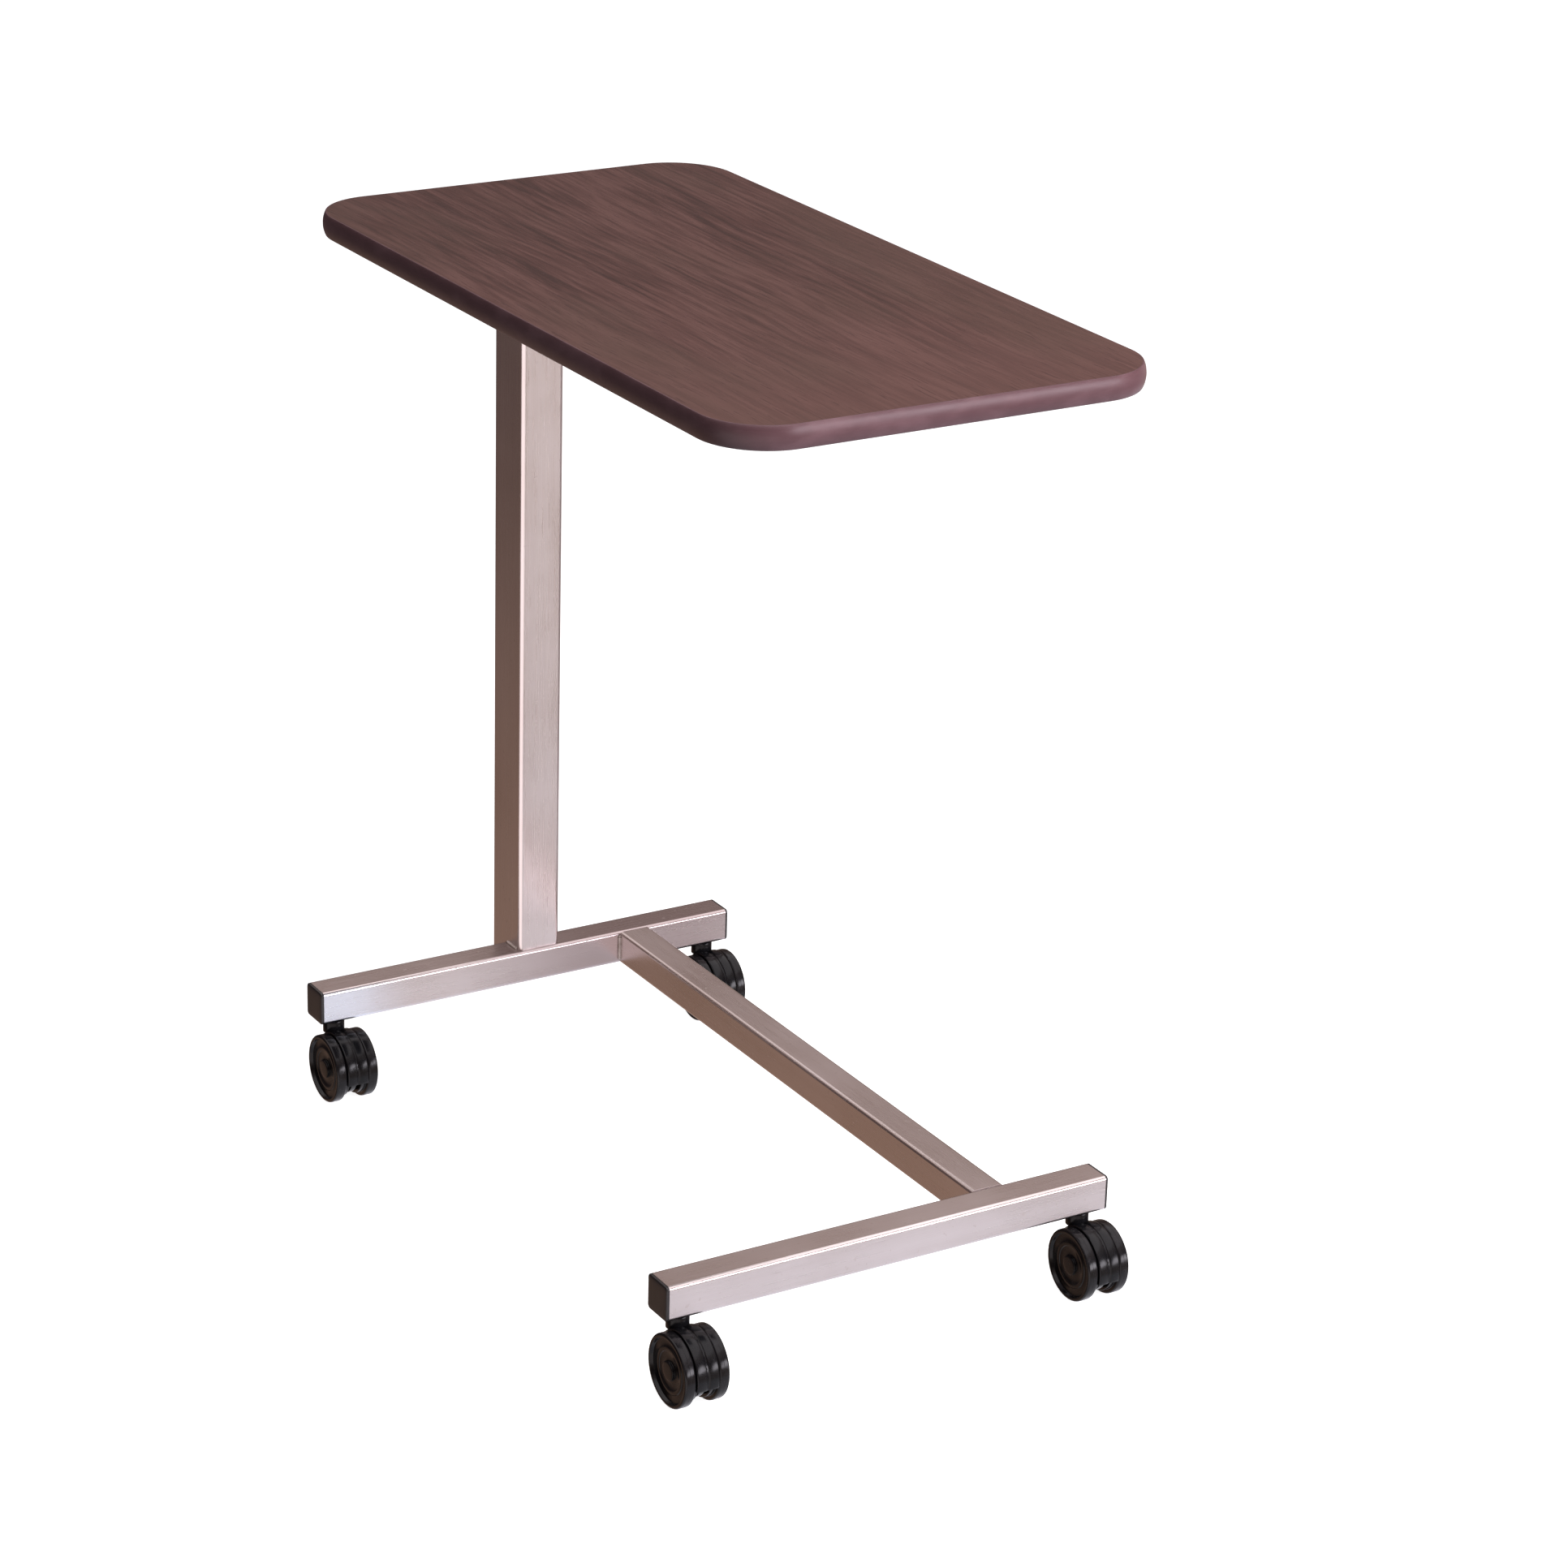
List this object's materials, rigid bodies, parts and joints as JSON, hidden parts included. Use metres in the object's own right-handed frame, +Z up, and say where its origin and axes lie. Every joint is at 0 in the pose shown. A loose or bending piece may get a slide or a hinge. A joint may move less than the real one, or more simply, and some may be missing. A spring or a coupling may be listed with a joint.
{
  "type": "overbed table",
  "caption": "Overbed table with a rounded woodgrain laminate top on a telescoping rectangular mast, carried by an offset H-shaped tube base on twin-wheel swivel casters.",
  "frame": {"origin": "on the floor, below the middle of the whole table's outline", "axes": "+Z up, +X from the column towards the open end of the table, +Y to the side of the height release"},
  "size_m": [0.7696, 0.437, 0.833],
  "materials": {
    "chrome": "satin chrome plate",
    "weld_steel": "plated weld bead",
    "zinc_steel": "zinc plated",
    "bright_steel": "ground",
    "black_paint": "semi-gloss black paint",
    "black_nylon": "moulded",
    "white_nylon": "moulded",
    "black_plastic": "moulded, fine texture",
    "caster_plastic": "glossy moulded nylon",
    "caster_tread": "glossy moulded nylon",
    "particle_board": "raw particle board",
    "walnut_laminate": "walnut woodgrain laminate, satin",
    "backing_sheet": "phenolic backing sheet",
    "edge_vinyl": "semi-gloss vinyl"
  },
  "bodies": {
    "base": {"rear_crossbar": "chrome", "front_crossbar": "chrome", "spine_tube": "chrome", "base_welds": "weld_steel", "end_cap_rear_left": "black_plastic", "end_cap_rear_right": "black_plastic", "end_cap_front_left": "black_plastic", "end_cap_front_right": "black_plastic", "outer_mast": "chrome", "mast_foot_plate": "zinc_steel", "spring_seat": "zinc_steel", "mast_collar": "black_nylon", "gas_spring_cylinder": "black_paint", "gas_spring_gland": "bright_steel", "caster_sockets": "zinc_steel", "swivel_washers": "bright_steel", "caster_stem_rear_left": "bright_steel", "caster_stem_rear_right": "bright_steel", "caster_stem_front_left": "bright_steel", "caster_stem_front_right": "bright_steel"},
    "table": {"inner_mast": "chrome", "lower_glide": "white_nylon", "gas_spring_rod": "bright_steel", "gas_spring_piston": "bright_steel", "release_head": "zinc_steel", "head_pins": "bright_steel", "support_bracket": "black_paint", "column_welds": "weld_steel", "support_rail_left": "black_paint", "support_rail_right": "black_paint", "rail_screws": "zinc_steel", "bracket_screws": "zinc_steel", "lever_pivot_pin": "bright_steel", "tabletop_core": "particle_board", "top_laminate": "walnut_laminate", "backing_sheet": "backing_sheet", "edge_moulding": "edge_vinyl"},
    "lever": {"release_lever": "zinc_steel", "lever_grip": "black_plastic"},
    "valve_pin": {"valve_pin": "bright_steel"},
    "caster_rear_left": {"hood_rear_left": "caster_plastic", "axle_rear_left": "bright_steel"},
    "wheel_a_rear_left": {"wheel_a_rear_left": "caster_tread"},
    "wheel_b_rear_left": {"wheel_b_rear_left": "caster_tread"},
    "caster_rear_right": {"hood_rear_right": "caster_plastic", "axle_rear_right": "bright_steel"},
    "wheel_a_rear_right": {"wheel_a_rear_right": "caster_tread"},
    "wheel_b_rear_right": {"wheel_b_rear_right": "caster_tread"},
    "caster_front_left": {"hood_front_left": "caster_plastic", "axle_front_left": "bright_steel"},
    "wheel_a_front_left": {"wheel_a_front_left": "caster_tread"},
    "wheel_b_front_left": {"wheel_b_front_left": "caster_tread"},
    "caster_front_right": {"hood_front_right": "caster_plastic", "axle_front_right": "bright_steel"},
    "wheel_a_front_right": {"wheel_a_front_right": "caster_tread"},
    "wheel_b_front_right": {"wheel_b_front_right": "caster_tread"}
  },
  "joints": [
    {"name": "mast_slide", "type": "slide", "parent": "base", "child": "table", "axis": [0, 0, 1], "range_m": [-0.076, 0.324]},
    {"name": "release_lever_pivot", "type": "hinge", "parent": "table", "child": "lever", "pos_m": [-0.33413, 0.043, 0.7974], "axis": [1, 0, 0], "range_deg": [0, 6], "stiffness_Nm_per_rad": 2, "springref_deg": -3.44},
    {"name": "valve_pin_slide", "type": "slide", "parent": "table", "child": "valve_pin", "axis": [0, 0, -1], "range_m": [0, 0.0035]},
    {"name": "swivel_rear_left", "type": "hinge", "parent": "base", "child": "caster_rear_left", "pos_m": [-0.318, 0.1975, 0.0655], "axis": [0, 0, 1], "continuous": true},
    {"name": "roll_a_rear_left", "type": "hinge", "parent": "caster_rear_left", "child": "wheel_a_rear_left", "pos_m": [-0.298, 0.1975, 0.032], "axis": [0, 1, 0], "continuous": true},
    {"name": "roll_b_rear_left", "type": "hinge", "parent": "caster_rear_left", "child": "wheel_b_rear_left", "pos_m": [-0.298, 0.1975, 0.032], "axis": [0, 1, 0], "continuous": true},
    {"name": "swivel_rear_right", "type": "hinge", "parent": "base", "child": "caster_rear_right", "pos_m": [-0.318, -0.1975, 0.0655], "axis": [0, 0, 1], "continuous": true},
    {"name": "roll_a_rear_right", "type": "hinge", "parent": "caster_rear_right", "child": "wheel_a_rear_right", "pos_m": [-0.298, -0.1975, 0.032], "axis": [0, 1, 0], "continuous": true},
    {"name": "roll_b_rear_right", "type": "hinge", "parent": "caster_rear_right", "child": "wheel_b_rear_right", "pos_m": [-0.298, -0.1975, 0.032], "axis": [0, 1, 0], "continuous": true},
    {"name": "swivel_front_left", "type": "hinge", "parent": "base", "child": "caster_front_left", "pos_m": [0.332, 0.1975, 0.0655], "axis": [0, 0, 1], "continuous": true},
    {"name": "roll_a_front_left", "type": "hinge", "parent": "caster_front_left", "child": "wheel_a_front_left", "pos_m": [0.352, 0.1975, 0.032], "axis": [0, 1, 0], "continuous": true},
    {"name": "roll_b_front_left", "type": "hinge", "parent": "caster_front_left", "child": "wheel_b_front_left", "pos_m": [0.352, 0.1975, 0.032], "axis": [0, 1, 0], "continuous": true},
    {"name": "swivel_front_right", "type": "hinge", "parent": "base", "child": "caster_front_right", "pos_m": [0.332, -0.1975, 0.0655], "axis": [0, 0, 1], "continuous": true},
    {"name": "roll_a_front_right", "type": "hinge", "parent": "caster_front_right", "child": "wheel_a_front_right", "pos_m": [0.352, -0.1975, 0.032], "axis": [0, 1, 0], "continuous": true},
    {"name": "roll_b_front_right", "type": "hinge", "parent": "caster_front_right", "child": "wheel_b_front_right", "pos_m": [0.352, -0.1975, 0.032], "axis": [0, 1, 0], "continuous": true}
  ],
  "couplings": [
    {"joint": "valve_pin_slide", "follows": "release_lever_pivot", "m_per_rad": 0.03}
  ]
}
